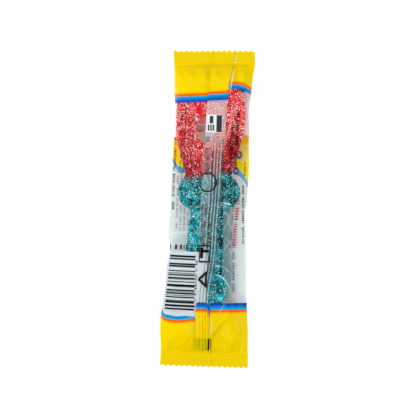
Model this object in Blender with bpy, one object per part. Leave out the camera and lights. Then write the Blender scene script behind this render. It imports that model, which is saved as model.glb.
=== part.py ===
# A sealed flow pack of thin film, drawn tight round one long gummy key.
# The pack lies on its front with the fin seal up, +Y runs to the end with the key's bow,
# and the origin is on the floor under the middle of the pack. Lengths are in metres.

import math

import bmesh
import bpy

MM = 0.001

# Pack
PACK_LENGTH = 159.0 * MM            # over the tips of the teeth, along the middle
TOP_SLANT = 0.032                   # rise of the top end for each length to the right
SLANT_START = 56.0 * MM             # where the slant of the top end begins, along Y
MIDDLE_SHIFT = 0.3 * MM             # moves the slanted pack back to the middle of its box
TOP_SEAL_LINE = 72.2 * MM           # where the end seal at the bow starts, along Y
BOTTOM_SEAL_LINE = -72.2 * MM
SHEET = 0.5 * MM                    # the two films of an end seal, drawn as one sheet
# The side folds, as seen from above: place along Y and distance from the middle, in mm
LEFT_FOLD = [(79.5, 19.8), (64.0, 19.0), (44.0, 18.15), (14.0, 19.0), (2.0, 18.95),
             (-12.0, 19.7), (-20.0, 18.6), (-31.0, 20.0), (-60.0, 22.25), (-71.0, 21.6),
             (-79.5, 21.7)]
RIGHT_FOLD = [(79.5, 20.8), (73.5, 21.0), (62.0, 19.8), (50.0, 18.65), (35.0, 19.2),
              (20.0, 19.65), (5.0, 19.15), (-2.0, 18.35), (-12.0, 19.25), (-40.0, 20.1),
              (-48.0, 20.8), (-62.0, 21.75), (-79.5, 22.25)]
FOLD_HEIGHT = [(79.5, 2.9), (72.2, 3.5), (64.0, 4.8), (40.0, 5.2), (10.0, 4.4),
               (-20.0, 3.5), (-50.0, 2.9), (-72.2, 1.8), (-79.5, 1.3)]

# Crimp of the end seals and the teeth of their cut edges
RIB_PITCH = 1.62 * MM
RIB_DEPTH = 0.16 * MM
TOOTH_PITCH = 2.7 * MM
TOOTH_DEPTH = 1.1 * MM
CUT_TEETH = 18                      # teeth of the cutting edge, a little wider than the pack
EDGE_SPARE = 0.3 * MM                # film past the tips that the teeth cut away
CUT_BLOCK = 5.0 * MM                # how far the cutter reaches past and below the film

# Fin seal: a crimped flap along the middle of the back, folded over to the left
FLAP_FREE_EDGE = [(79.5, 0.0), (62.0, -1.6), (45.0, -2.65), (5.0, -4.1), (-40.0, -3.9),
                  (-52.0, -4.8), (-79.5, -4.4)]
FLAP_ROOT = [(79.5, 11.3), (70.0, 10.4), (62.0, 8.5), (45.0, 7.4), (15.0, 6.7),
             (-18.0, 5.4), (-48.0, 2.4), (-64.0, 2.9), (-79.5, 4.2)]
FLAP_HEIGHT = 0.65 * MM
FLAP_CREASE = 0.35 * MM             # extra height of the fold at its root
FLAP_RIB = 0.17 * MM
FLAP_PLAIN_SHARE = 0.36             # share of its width without ribs, at the free edge
FLAP_PRESSED = 0.4                  # share of its height left inside an end seal
FLAP_STEP = 0.22 * MM               # run of the step at each side of the flap

# Gummy key
GUMMY_TOP = 10.9 * MM               # top of the film where the key carries it
BOW_MIDDLE = (-0.3 * MM, 46.8 * MM)
BOW_HALF_WIDTH = 17.6 * MM
BOW_UP = 17.4 * MM                  # from the widest place to the end of the key
BOW_DOWN = 46.0 * MM                # to where the bow's outline would close inside the collar
BOW_NECK_HALF_WIDTH = 12.2 * MM
BOW_NECK = 17.0 * MM                # place of the neck along Y
BOW_POWER = 3.0                     # squareness of the bow's end
HOLE_MIDDLE = (-2.8 * MM, 39.6 * MM)
HOLE_HALF = (4.4 * MM, 6.6 * MM)
HOLE_DIP = 0.5 * MM
LOBE_RADIUS = 9.3 * MM
LOBE_SIDE = 6.05 * MM
LOBE_MIDDLE = (0.2 * MM, 8.2 * MM)
SHANK_START = (-0.6 * MM, 4.0 * MM)
SHANK_END = (-0.1 * MM, -41.0 * MM)
SHANK_RADIUS = (8.5 * MM, 9.8 * MM)
BIT_TOOTH_REACH = -14.2 * MM
BIT_TEETH = [(-28.7 * MM, 4.3 * MM), (-43.8 * MM, 4.4 * MM)]     # middle and half width
BIT_CORNER = 1.5 * MM
# How much further out the key's sides are than that: place along Y and distance, in mm
LEFT_SWELL = [(46.0, 0.0), (33.0, 1.0), (22.0, 1.4), (15.0, 1.2), (8.0, 0.7), (2.0, 0.9), (-3.0, 0.1),
              (-10.0, 1.0), (-20.0, 1.5), (-36.0, 0.4), (-48.0, 0.0)]
RIGHT_SWELL = [(48.0, 0.2), (36.0, 0.2), (23.0, 0.7), (17.0, 0.8), (8.0, 0.6), (0.0, 0.5), (-4.0, 0.1),
               (-32.0, 0.1), (-39.0, 1.1), (-50.0, 0.7)]
SWELL_WIDTH = 8.0 * MM              # from the middle line to where the swell is full
SHOULDER_DROP = 0.8 * MM            # how far the key's top face is lower at its edge
SHOULDER_WIDTH = 3.0 * MM
BELLY_INSET = 3.5 * MM              # the key's round lower edge, from above
FILM_FILLET = 4.5 * MM              # how widely the film bridges the key's corners
PLEAT_HEIGHT = 0.45 * MM
PLEAT_PITCH = 9.0 * MM

# Mesh
SIDE_COLUMNS = 9
PLAIN_FLAP_COLUMNS = 2
RIBBED_FLAP_COLUMNS = 8
BODY_ROWS = 68


def along(stations, y):
    """Value at y on the smooth line through stations, a list of (y, value) in millimetres."""
    ordered = sorted(stations)
    place = y / MM
    if place <= ordered[0][0]:
        return ordered[0][1] * MM
    for (start, low), (end, high) in zip(ordered, ordered[1:]):
        if place <= end:
            share = (place - start) / (end - start)
            return (low + (high - low) * (0.5 - 0.5 * math.cos(math.pi * share))) * MM
    return ordered[-1][1] * MM


def clamp(value, low=0.0, high=1.0):
    return max(low, min(high, value))


def smooth_min(a, b, width):
    share = clamp(0.5 + 0.5 * (b - a) / width)
    return b + (a - b) * share - width * share * (1.0 - share)


def bow_distance(x, y):
    """Distance outside the bow's egg-shaped outline, about right near the outline."""
    dx = abs(x - BOW_MIDDLE[0])
    dy = y - BOW_MIDDLE[1]
    if dy > 0.0:
        half_width, reach = BOW_HALF_WIDTH, BOW_UP
    else:
        share = clamp((y - BOW_NECK) / (BOW_MIDDLE[1] - BOW_NECK))
        swell = math.sin(share * math.pi / 2.0) ** 1.3
        half_width = BOW_NECK_HALF_WIDTH + (BOW_HALF_WIDTH - BOW_NECK_HALF_WIDTH) * swell
        reach = BOW_DOWN
    ratio = ((dx / half_width) ** BOW_POWER + (abs(dy) / reach) ** BOW_POWER) ** (1.0 / BOW_POWER)
    return (ratio - 1.0) * half_width


def lobe_distance(x, y):
    side = abs(x - LOBE_MIDDLE[0]) - LOBE_SIDE
    return math.hypot(max(side, 0.0), y - LOBE_MIDDLE[1]) - LOBE_RADIUS


def shank_distance(x, y):
    run = SHANK_END[1] - SHANK_START[1]
    share = clamp((y - SHANK_START[1]) / run)
    middle = SHANK_START[0] + (SHANK_END[0] - SHANK_START[0]) * share
    radius = SHANK_RADIUS[0] + (SHANK_RADIUS[1] - SHANK_RADIUS[0]) * share
    return math.hypot(x - middle, y - (SHANK_START[1] + run * share)) - radius


def bit_distance(x, y):
    nearest = 1.0
    for middle, half_width in BIT_TEETH:
        dx = abs(x - BIT_TOOTH_REACH / 2.0) + BIT_TOOTH_REACH / 2.0 + BIT_CORNER
        dy = abs(y - middle) - half_width + BIT_CORNER
        outside = math.hypot(max(dx, 0.0), max(dy, 0.0))
        nearest = min(nearest, outside + min(max(dx, dy), 0.0) - BIT_CORNER)
    return nearest


def key_distance(x, y, fillet):
    """Signed distance from the key's outline, its inner corners filled to about fillet."""
    x += along(LEFT_SWELL, y) * clamp(-x / SWELL_WIDTH) - along(RIGHT_SWELL, y) * clamp(x / SWELL_WIDTH)
    distance = smooth_min(bow_distance(x, y), lobe_distance(x, y), fillet)
    distance = smooth_min(distance, shank_distance(x, y), fillet)
    return smooth_min(distance, bit_distance(x, y), fillet)


def hole_depth(x, y):
    """1 in the middle of the bow's hole, 0 at its rim and outside."""
    reach = math.hypot((x - HOLE_MIDDLE[0]) / HOLE_HALF[0], (y - HOLE_MIDDLE[1]) / HOLE_HALF[1])
    return clamp(1.0 - reach) ** 0.5


def stretch(gap, x, y):
    """0 where the key carries the film, 1 at the side folds and the seal lines."""
    sides = smooth_min(x + along(LEFT_FOLD, y), along(RIGHT_FOLD, y) - x, 1.0 * MM)
    ends = min(TOP_SEAL_LINE - y, y - BOTTOM_SEAL_LINE)
    room = max(smooth_min(sides, ends, 4.0 * MM), 0.0)
    gap = max(gap, 0.0)
    return 1.0 if room <= 0.0 else gap / (gap + room)


def crimp(y):
    """Height of the cross ribs of the end seals, 0 between them."""
    past = max(y - TOP_SEAL_LINE, BOTTOM_SEAL_LINE - y)
    if past <= 0.0:
        return 0.0
    return RIB_DEPTH * math.cos(2.0 * math.pi * past / RIB_PITCH) * clamp(past / (0.4 * MM))


def film_top(x, y):
    fold = along(FOLD_HEIGHT, y)
    distance = key_distance(x, y, FILM_FILLET)
    share = stretch(distance, x, y)
    shoulder = (1.0 - clamp(-distance / SHOULDER_WIDTH)) ** 2
    crown = GUMMY_TOP - SHOULDER_DROP * shoulder - HOLE_DIP * hole_depth(x, y)
    fan = 1.0 + 0.25 * math.sin(y / (14.0 * MM))
    pleat = PLEAT_HEIGHT * math.sin(2.0 * math.pi * x / (PLEAT_PITCH * fan)) * 4.0 * share * (1.0 - share)
    return fold + (crown - fold) * (1.0 - share ** 1.5) + pleat + SHEET / 2.0 + crimp(y)


def film_bottom(x, y):
    fold = along(FOLD_HEIGHT, y)
    share = stretch(key_distance(x, y, FILM_FILLET) + BELLY_INSET, x, y)
    return (fold - SHEET / 2.0) * share ** 1.6 + crimp(y) * share ** 8


def placed(x, y):
    """Place along Y of a point of the straight pack, with the top end's slant."""
    share = clamp((y - SLANT_START) / (TOP_SEAL_LINE - SLANT_START))
    return y + TOP_SLANT * x * share * share * (3.0 - 2.0 * share) - MIDDLE_SHIFT


def columns(y):
    """Places across the pack at y, as (x, height of the flap there)."""
    left, right = -along(LEFT_FOLD, y), along(RIGHT_FOLD, y)
    free, root = along(FLAP_FREE_EDGE, y), along(FLAP_ROOT, y)
    past = max(y - TOP_SEAL_LINE, BOTTOM_SEAL_LINE - y)
    height = FLAP_HEIGHT * (FLAP_PRESSED if past > 0.0 else 1.0)
    rib = 0.0 if past > 0.0 else FLAP_RIB
    places = []
    for index in range(SIDE_COLUMNS + 1):
        spread = 1.0 - math.cos(index / SIDE_COLUMNS * math.pi / 2.0)
        places.append((left + (free - FLAP_STEP - left) * spread, 0.0))
    flap_columns = PLAIN_FLAP_COLUMNS + RIBBED_FLAP_COLUMNS
    for index in range(flap_columns + 1):
        if index <= PLAIN_FLAP_COLUMNS:
            share = FLAP_PLAIN_SHARE * index / PLAIN_FLAP_COLUMNS
            rise = height
        else:
            step = index - PLAIN_FLAP_COLUMNS
            share = FLAP_PLAIN_SHARE + (1.0 - FLAP_PLAIN_SHARE) * step / RIBBED_FLAP_COLUMNS
            rise = height + (rib if step % 2 else -rib)
        crease = FLAP_CREASE * (height / FLAP_HEIGHT) * clamp(share * 4.0 - 3.0)
        places.append((free + (root - free) * share, rise + crease))
    for index in range(SIDE_COLUMNS + 1):
        spread = math.sin(index / SIDE_COLUMNS * math.pi / 2.0)
        places.append((root + FLAP_STEP + (right - root - FLAP_STEP) * spread, 0.0))
    return places


def row_places():
    """Places of the rows along Y: half a rib apart in the seals, even between them."""
    half = PACK_LENGTH / 2.0 + EDGE_SPARE
    seal_rows = round((half - TOP_SEAL_LINE) / (RIB_PITCH / 2.0))
    rows = [-half + (BOTTOM_SEAL_LINE + half) * step / seal_rows for step in range(seal_rows)]
    body = TOP_SEAL_LINE - BOTTOM_SEAL_LINE
    rows += [BOTTOM_SEAL_LINE + body * step / BODY_ROWS for step in range(BODY_ROWS)]
    rows += [TOP_SEAL_LINE + (half - TOP_SEAL_LINE) * step / seal_rows for step in range(seal_rows + 1)]
    return rows


def new_object(name, bm, collection):
    mesh = bpy.data.meshes.new(name)
    bm.to_mesh(mesh)
    bm.free()
    obj = bpy.data.objects.new(name, mesh)
    collection.objects.link(obj)
    return obj


def film_pack(collection):
    """The whole pack: a grid laid twice, as the lower and the upper film, joined at its rim."""
    rows = row_places()
    grid_columns = len(columns(0.0)) - 1
    bm = bmesh.new()
    bmesh.ops.create_grid(bm, x_segments=grid_columns, y_segments=len(rows) - 1, size=1.0)
    upper = bmesh.ops.extrude_face_region(bm, geom=bm.faces[:])
    for vert in [item for item in upper["geom"] if isinstance(item, bmesh.types.BMVert)]:
        vert.co.z = 1.0
    for vert in bm.verts:
        column = round((vert.co.x + 1.0) / 2.0 * grid_columns)
        row = round((vert.co.y + 1.0) / 2.0 * (len(rows) - 1))
        y = rows[row]
        x, flap = columns(y)[column]
        z = film_top(x, y) + flap if vert.co.z > 0.5 else film_bottom(x, y)
        vert.co = (x, placed(x, y), z)
    bmesh.ops.recalc_face_normals(bm, faces=bm.faces[:])
    return new_object("flow_pack", bm, collection)


def teeth_cutter(name, end, collection):
    """A block past the end of the pack at +Y or -Y, with teeth along its inner side."""
    bm = bmesh.new()
    bmesh.ops.create_grid(bm, x_segments=CUT_TEETH * 2, y_segments=1, size=1.0)
    top = bmesh.ops.extrude_face_region(bm, geom=bm.faces[:])
    for vert in [item for item in top["geom"] if isinstance(item, bmesh.types.BMVert)]:
        vert.co.z = 1.0
    for vert in bm.verts:
        column = round((vert.co.x + 1.0) * CUT_TEETH)
        inner = -TOOTH_DEPTH if column % 2 else 0.0
        reach = PACK_LENGTH / 2.0 + (inner if vert.co.y < 0.0 else CUT_BLOCK)
        across = (column / 2.0 - CUT_TEETH / 2.0) * TOOTH_PITCH
        vert.co = (across, placed(across, end * reach), (vert.co.z * 4.0 - 1.0) * CUT_BLOCK)
    bmesh.ops.recalc_face_normals(bm, faces=bm.faces[:])
    cutter = new_object(name, bm, collection)
    cutter.hide_render = True
    cutter.display_type = "WIRE"
    return cutter


def principled(name, colour, roughness):
    material = bpy.data.materials.new(name)
    material.use_nodes = True
    shader = material.node_tree.nodes["Principled BSDF"]
    shader.inputs["Base Color"].default_value = (*colour, 1.0)
    shader.inputs["Roughness"].default_value = roughness
    shader.inputs["Metallic"].default_value = 0.0
    return material


def new_collection(name):
    collection = bpy.data.collections.new(name)
    bpy.context.scene.collection.children.link(collection)
    return collection


def main():
    for obj in list(bpy.data.objects):
        bpy.data.objects.remove(obj, do_unlink=True)
    parts = new_collection("wrapped_gummy_key")
    cutters = new_collection("cutters")

    pack = film_pack(parts)
    pack.data.materials.append(principled("printed_film", (0.93, 0.67, 0.01), 0.28))
    for name, end in [("top_teeth", 1.0), ("bottom_teeth", -1.0)]:
        cut = pack.modifiers.new(name, "BOOLEAN")
        cut.operation = "DIFFERENCE"
        cut.solver = "EXACT"
        cut.object = teeth_cutter(name, end, cutters)
    pack.data.shade_smooth()
    pack.data.set_sharp_from_angle(angle=math.radians(35.0))


main()
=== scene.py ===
import math
import bmesh
import bpy
import numpy as np
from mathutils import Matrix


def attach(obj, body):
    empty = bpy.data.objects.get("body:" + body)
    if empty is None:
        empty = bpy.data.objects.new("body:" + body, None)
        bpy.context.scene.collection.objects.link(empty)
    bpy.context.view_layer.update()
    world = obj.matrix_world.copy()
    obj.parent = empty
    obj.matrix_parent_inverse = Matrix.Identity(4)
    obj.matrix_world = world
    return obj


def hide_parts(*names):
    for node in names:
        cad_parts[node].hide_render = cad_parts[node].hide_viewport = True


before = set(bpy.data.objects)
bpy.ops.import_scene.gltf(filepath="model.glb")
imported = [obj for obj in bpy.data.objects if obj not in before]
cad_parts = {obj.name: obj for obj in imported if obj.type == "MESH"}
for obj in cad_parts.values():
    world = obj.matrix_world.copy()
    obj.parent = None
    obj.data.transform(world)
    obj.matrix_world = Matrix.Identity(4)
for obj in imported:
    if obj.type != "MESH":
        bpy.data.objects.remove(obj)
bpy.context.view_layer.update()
mm = 0.001


# shader and geometry graphs

class Wire:   # one output socket; sums and products add the Math nodes they need
    def __init__(self, graph, socket):
        self.graph = graph
        self.socket = socket

    def __add__(self, other): return self.graph.maths("ADD", self, other)
    def __radd__(self, other): return self.graph.maths("ADD", other, self)
    def __sub__(self, other): return self.graph.maths("SUBTRACT", self, other)
    def __rsub__(self, other): return self.graph.maths("SUBTRACT", other, self)
    def __mul__(self, other): return self.graph.maths("MULTIPLY", self, other)
    def __rmul__(self, other): return self.graph.maths("MULTIPLY", other, self)
    def __truediv__(self, other): return self.graph.maths("DIVIDE", self, other)
    def __rtruediv__(self, other): return self.graph.maths("DIVIDE", other, self)
    def __pow__(self, other): return self.graph.maths("POWER", self, other)
    def __neg__(self): return self.graph.maths("MULTIPLY", self, -1.0)
    def __abs__(self): return self.graph.maths("ABSOLUTE", self)


class Graph:
    def __init__(self, tree):
        self.tree = tree

    def add(self, kind, settings=None, inputs=None, output=0):
        node = self.tree.nodes.new(kind)
        for name, value in (settings or {}).items():
            if name == "stops":
                self.setStops(node.color_ramp, value)
            else:
                setattr(node, name, value)
        for name, value in (inputs or {}).items():
            socket = node.inputs[name]
            if isinstance(value, Wire):
                self.tree.links.new(value.socket, socket)
            else:
                socket.default_value = value
        return Wire(self, node.outputs[output]) if node.outputs else node

    def setStops(self, ramp, stops):
        while len(ramp.elements) < len(stops):
            ramp.elements.new(0.5)
        for element, (place, colour) in zip(ramp.elements, stops):
            element.position = place
            element.color = (*colour, 1.0)

    def maths(self, operation, *values):
        return self.add("ShaderNodeMath", {"operation": operation}, dict(enumerate(values)))

    def vector(self, operation, first, others):
        output = "Value" if operation in ("LENGTH", "DOT_PRODUCT") else "Vector"
        return self.add("ShaderNodeVectorMath", {"operation": operation}, {0: first, **others}, output)

    def least(self, a, b):
        return self.maths("MINIMUM", a, b)

    def most(self, first, *others):
        for value in others:
            first = self.maths("MAXIMUM", first, value)
        return first

    def ramp(self, value, low, high, start=0.0, end=1.0):
        inputs = {"Value": value, "From Min": low, "From Max": high, "To Min": start, "To Max": end}
        return self.add("ShaderNodeMapRange", {"interpolation_type": "SMOOTHSTEP", "clamp": False}, inputs)

    def edge(self, value, place, soft):      # 0 below place, 1 above it
        return self.ramp(value, place - soft / 2.0, place + soft / 2.0)

    def below(self, value, place, soft):     # 1 below place, 0 above it
        return 1.0 - self.edge(value, place, soft)

    def between(self, value, low, high, soft):
        return self.edge(value, low, soft) * self.below(value, high, soft)

    def box(self, x, y, spans):              # spans: low, high and softness, in x and in y
        return self.between(x, *spans[0]) * self.between(y, *spans[1])

    def mix(self, factor, a, b):
        a, b = (value if isinstance(value, Wire) else (*value, 1.0) for value in (a, b))
        return self.add("ShaderNodeMix", {"data_type": "RGBA"}, {0: factor, 6: a, 7: b}, 2)

    def noise(self, vector, scale, detail=2.0, roughness=0.5):
        inputs = {"Vector": vector, "Scale": scale, "Detail": detail, "Roughness": roughness}
        return self.add("ShaderNodeTexNoise", {}, inputs)

    def split(self, vector):
        outputs = self.add("ShaderNodeSeparateXYZ", {}, {0: vector}).socket.node.outputs
        return [Wire(self, output) for output in outputs]

    def dice(self, a, b, seed):              # one random number for each whole a and b
        spot = self.maths("MULTIPLY_ADD", b, 57.31, self.maths("MULTIPLY_ADD", a, 3.17, seed))
        return self.add("ShaderNodeTexWhiteNoise", {"noise_dimensions": "1D"}, {"W": spot})


def newMaterial(name):
    material = bpy.data.materials.new(name)
    material.use_nodes = True
    tree = material.node_tree
    tree.nodes.clear()
    return material, Graph(tree)


def placeInMm(graph):                        # place on the pack, in millimetres: as a vector, x and y
    coordinates = graph.add("ShaderNodeTexCoord", {}, {}, "Object")
    scaled = graph.vector("SCALE", coordinates, {"Scale": 1.0 / mm})
    vector = graph.vector("ADD", scaled, {1: (0.0, pack["middleShift"], 0.0)})
    return vector, *graph.split(vector)[:2]


def finishMaterial(graph, inputs):
    shader = graph.add("ShaderNodeBsdfPrincipled", {}, inputs)
    graph.add("ShaderNodeOutputMaterial", {}, {"Surface": shader})


lightLevel = 1.24                            # what a white, flat surface sends back, 1 is full white


def seen(red, green, blue):                  # the surface colour that shows as this one, 0 to 255
    linear = [((value / 255.0 + 0.055) / 1.055) ** 2.4 if value > 10 else value / 3294.6
              for value in (red, green, blue)]
    return tuple(value / lightLevel for value in linear)


def newObject(name, data):
    thing = bpy.data.objects.new(name, data)
    bpy.context.scene.collection.objects.link(thing)
    return thing


# the camera: straight above, turned so that the pack leans as it does in the photograph

view = {"height": 1.6, "fieldWidth": 0.208, "sensor": 36.0, "lean": 1.82,
        "middle": (-0.00017, 0.00013), "focusHeight": 0.005}


def makeCamera():
    data = bpy.data.cameras.new("camera")
    data.sensor_width = view["sensor"]
    data.lens = view["sensor"] * (view["height"] - view["focusHeight"]) / view["fieldWidth"]
    camera = newObject("camera", data)
    camera.location = (*view["middle"], view["height"])
    camera.rotation_euler = (0.0, 0.0, math.radians(view["lean"]))
    bpy.context.scene.camera = camera


makeCamera()


# the form of the pack, in millimetres: the same rules as the CAD solid's

pack = {
    "halfLength": 79.5, "sealLine": 72.2,
    "leftFold": [(79.5, 19.8), (64.0, 19.0), (44.0, 18.15), (14.0, 19.0), (2.0, 18.95), (-12.0, 19.7),
                 (-20.0, 18.6), (-31.0, 20.0), (-60.0, 22.25), (-71.0, 21.6), (-79.5, 21.7)],
    "rightFold": [(79.5, 20.8), (73.5, 21.0), (62.0, 19.8), (50.0, 18.65), (35.0, 19.2), (20.0, 19.65),
                  (5.0, 19.15), (-2.0, 18.35), (-12.0, 19.25), (-40.0, 20.1), (-48.0, 20.8),
                  (-62.0, 21.75), (-79.5, 22.25)],
    "foldHeight": [(79.5, 2.9), (72.2, 3.5), (64.0, 4.8), (40.0, 5.2), (10.0, 4.4), (-20.0, 3.5),
                   (-50.0, 2.9), (-72.2, 1.8), (-79.5, 1.3)],
    "topSlant": 0.032, "slantStart": 56.0, "middleShift": 0.3, "sideBlend": 1.0, "endBlend": 4.0,
    "crown": 10.9, "cadSheet": 0.5, "ply": 0.14, "topPower": 1.5, "bottomPower": 1.75,
    "shoulderDrop": 0.8, "shoulderWidth": 3.0, "bellyInset": 3.5, "fillet": 4.5,
    "pleatHeight": 0.45, "pleatPitch": 9.0, "fan": 0.25, "fanLength": 14.0,
    "pucker": 0.16, "puckerLength": 3.2, "puckerStart": 60.0, "slack": 0.10, "slackLength": 9.0,
    "sealEase": (71.0, 72.4), "ribPitch": 1.62, "ribDepth": 0.06, "ribEase": 0.4,
    "toothPitch": 2.7, "toothDepth": 1.1,
}

key = {
    "bowMiddle": (-0.3, 46.8), "bowHalfWidth": 17.6, "bowUp": 17.4, "bowDown": 46.0,
    "neckHalfWidth": 12.2, "neck": 17.0, "bowPower": 3.0,
    "holeMiddle": (-2.8, 39.6), "holeHalf": (4.4, 6.6), "holeTaper": 0.012, "holeDip": 0.5,
    "lobeRadius": 9.3, "lobeSide": 6.05, "lobeMiddle": (0.2, 8.2),
    "shankStart": (-0.6, 4.0), "shankEnd": (-0.1, -41.0), "shankRadius": (8.5, 9.8),
    "bitReach": -14.2, "bitTeeth": [(-28.7, 4.3), (-43.8, 4.4)], "bitCorner": 1.5,
    "leftSwell": [(46.0, 0.0), (33.0, 1.0), (22.0, 1.4), (15.0, 1.2), (8.0, 0.7), (2.0, 0.9), (-3.0, 0.1),
                  (-10.0, 1.0), (-20.0, 1.5), (-36.0, 0.4), (-48.0, 0.0)],
    "rightSwell": [(48.0, 0.2), (36.0, 0.2), (23.0, 0.7), (17.0, 0.8), (8.0, 0.6), (0.0, 0.5), (-4.0, 0.1),
                   (-32.0, 0.1), (-39.0, 1.1), (-50.0, 0.7)],
    "swellWidth": 8.0,
}


def along(stations, y):                      # the value at y on the smooth line through stations
    places, values = np.array(sorted(stations)).T
    y = np.clip(y, places[0], places[-1])
    spot = np.clip(np.searchsorted(places, y) - 1, 0, len(places) - 2)
    share = (y - places[spot]) / (places[spot + 1] - places[spot])
    return values[spot] + (values[spot + 1] - values[spot]) * (0.5 - 0.5 * np.cos(np.pi * share))


def smoothMin(a, b, width):
    share = np.clip(0.5 + 0.5 * (b - a) / width, 0.0, 1.0)
    return b + (a - b) * share - width * share * (1.0 - share)


def smoothStep(value, low, high):
    share = np.clip((value - low) / (high - low), 0.0, 1.0)
    return share * share * (3.0 - 2.0 * share)


def bowDistance(x, y):
    dx = np.abs(x - key["bowMiddle"][0])
    dy = y - key["bowMiddle"][1]
    share = np.clip((y - key["neck"]) / (key["bowMiddle"][1] - key["neck"]), 0.0, 1.0)
    swell = np.sin(share * np.pi / 2.0) ** 1.3
    lower = key["neckHalfWidth"] + (key["bowHalfWidth"] - key["neckHalfWidth"]) * swell
    halfWidth = np.where(dy > 0.0, key["bowHalfWidth"], lower)
    reach = np.where(dy > 0.0, key["bowUp"], key["bowDown"])
    power = key["bowPower"]
    ratio = ((dx / halfWidth) ** power + (np.abs(dy) / reach) ** power) ** (1.0 / power)
    return (ratio - 1.0) * halfWidth


def lobeDistance(x, y):
    side = np.abs(x - key["lobeMiddle"][0]) - key["lobeSide"]
    return np.hypot(np.maximum(side, 0.0), y - key["lobeMiddle"][1]) - key["lobeRadius"]


def shankDistance(x, y):
    (startX, startY), (endX, endY) = key["shankStart"], key["shankEnd"]
    share = np.clip((y - startY) / (endY - startY), 0.0, 1.0)
    radius = key["shankRadius"][0] + (key["shankRadius"][1] - key["shankRadius"][0]) * share
    return np.hypot(x - startX - (endX - startX) * share, y - startY - (endY - startY) * share) - radius


def bitDistance(x, y):
    nearest = np.full(np.shape(x), 1000.0)
    for middle, halfWidth in key["bitTeeth"]:
        dx = np.abs(x - key["bitReach"] / 2.0) + key["bitReach"] / 2.0 + key["bitCorner"]
        dy = np.abs(y - middle) - halfWidth + key["bitCorner"]
        outside = np.hypot(np.maximum(dx, 0.0), np.maximum(dy, 0.0))
        nearest = np.minimum(nearest, outside + np.minimum(np.maximum(dx, dy), 0.0) - key["bitCorner"])
    return nearest


def keyDistance(x, y, fillet):
    leftShare, rightShare = (np.clip(side * x / key["swellWidth"], 0.0, 1.0) for side in (-1.0, 1.0))
    x = x + along(key["leftSwell"], y) * leftShare - along(key["rightSwell"], y) * rightShare
    distance = smoothMin(bowDistance(x, y), lobeDistance(x, y), fillet)
    distance = smoothMin(distance, shankDistance(x, y), fillet)
    return smoothMin(distance, bitDistance(x, y), fillet)


def holeReach(x, y):                         # 0 in the middle of the bow's hole, 1 on its rim
    (middleX, middleY), (halfX, halfY) = key["holeMiddle"], key["holeHalf"]
    across = (x - middleX) / (halfX * (1.0 + key["holeTaper"] * (y - middleY)))
    return np.hypot(across, (y - middleY) / halfY)


def stretch(gap, x, y):                      # 0 where the key carries the film, 1 at folds and seals
    left, right = x + along(pack["leftFold"], y), along(pack["rightFold"], y) - x
    ends = pack["sealLine"] - np.abs(y)
    room = np.maximum(smoothMin(smoothMin(left, right, pack["sideBlend"]), ends, pack["endBlend"]), 0.0)
    gap = np.maximum(gap, 0.0)
    return np.where(room <= 0.0, 1.0, gap / np.maximum(gap + room, 1e-6))


def crimp(y):                                # the ribs across the end seals
    past = np.abs(y) - pack["sealLine"]
    wave = pack["ribDepth"] * np.cos(2.0 * np.pi * past / pack["ribPitch"])
    return np.where(past > 0.0, wave * np.clip(past / pack["ribEase"], 0.0, 1.0), 0.0)


def ripple(x, y, length, seed, waves=14):    # soft random waves about length millimetres long
    rng = np.random.default_rng(seed)
    total = np.zeros(np.shape(x))
    for _ in range(waves):
        angle, phase = rng.uniform(0.0, 2.0 * np.pi, 2)
        pitch = length * rng.uniform(0.7, 1.6)
        total += np.sin((x * np.cos(angle) + y * np.sin(angle)) * 2.0 * np.pi / pitch + phase)
    return total / math.sqrt(waves)


creases = [   # ends of each crease on the back, its height and its half width
    ((13.5, -51.6), (3.8, -63.0), 0.55, 1.1), ((10.5, -31.5), (16.5, -38.0), 0.25, 0.7),
    ((20.0, -55.0), (12.0, -70.0), 0.35, 1.6), ((-9.0, -58.0), (-19.5, -69.0), 0.35, 1.5),
    ((-7.0, -63.0), (-13.0, -71.5), 0.3, 0.9), ((15.0, -62.0), (20.5, -70.0), 0.25, 0.8),
    ((13.0, 71.0), (19.3, 61.0), 0.35, 0.9), ((-18.0, 70.5), (-14.0, 62.0), 0.3, 1.2),
    ((-5.0, 71.5), (-3.0, 65.0), 0.2, 0.8), ((17.6, 57.0), (16.0, 66.0), 0.3, 0.8),
    ((16.5, 12.0), (18.8, 2.0), 0.3, 0.8), ((-19.0, -13.0), (-13.5, -19.5), 0.4, 0.9),
    ((-18.6, -21.0), (-12.0, -24.5), 0.3, 0.8),
]


def creaseHeight(x, y):
    total = np.zeros(np.shape(x))
    for (startX, startY), (endX, endY), height, halfWidth in creases:
        runX, runY = endX - startX, endY - startY
        share = ((x - startX) * runX + (y - startY) * runY) / (runX ** 2 + runY ** 2)
        near = np.clip(share, 0.0, 1.0)
        distance = np.hypot(x - startX - runX * near, y - startY - runY * near)
        fade = np.sin(np.pi * near) ** 0.6
        total += height * fade * np.exp(-np.abs(distance / halfWidth) ** 1.4)
    return total


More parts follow.
